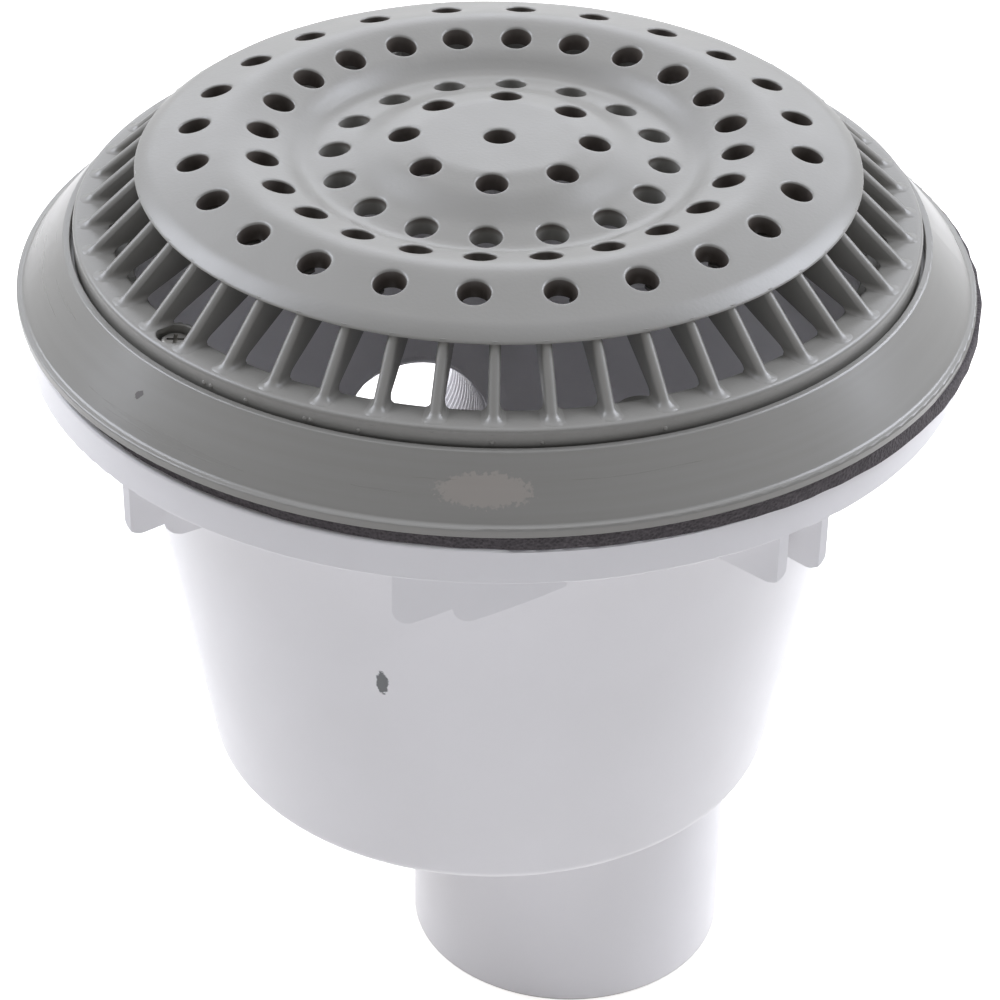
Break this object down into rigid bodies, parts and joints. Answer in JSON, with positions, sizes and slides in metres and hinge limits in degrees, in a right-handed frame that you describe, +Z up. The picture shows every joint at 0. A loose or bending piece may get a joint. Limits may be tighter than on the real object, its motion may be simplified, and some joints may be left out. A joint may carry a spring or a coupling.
{
  "type": "pool main drain",
  "caption": "Round pool main drain: tapered white sump with a flange, bottom spigot and side port, under a grey anti-vortex cover with small holes and side ribs.",
  "frame": {"origin": "on the pot's axis, in the plane of the spigot's end face, on which the drain stands", "axes": "+Z up along the pot's axis to the cover; the side port points to the back, at 107.4 degrees from +X"},
  "size_m": [0.2335, 0.2328, 0.2355],
  "materials": {
    "cover_plastic": "fine satin",
    "ring_plastic": "polished moulding",
    "foam": "open cell foam",
    "sump_plastic": "satin",
    "stainless": "bright",
    "brass": "machined"
  },
  "bodies": {
    "root": {"suction_cover": "cover_plastic", "face_ring": "ring_plastic", "flange_gasket": "foam", "sump_body": "sump_plastic", "cover_screws": "stainless", "cover_inserts": "brass", "ring_screws": "stainless", "ring_inserts": "brass"}
  },
  "joints": []
}
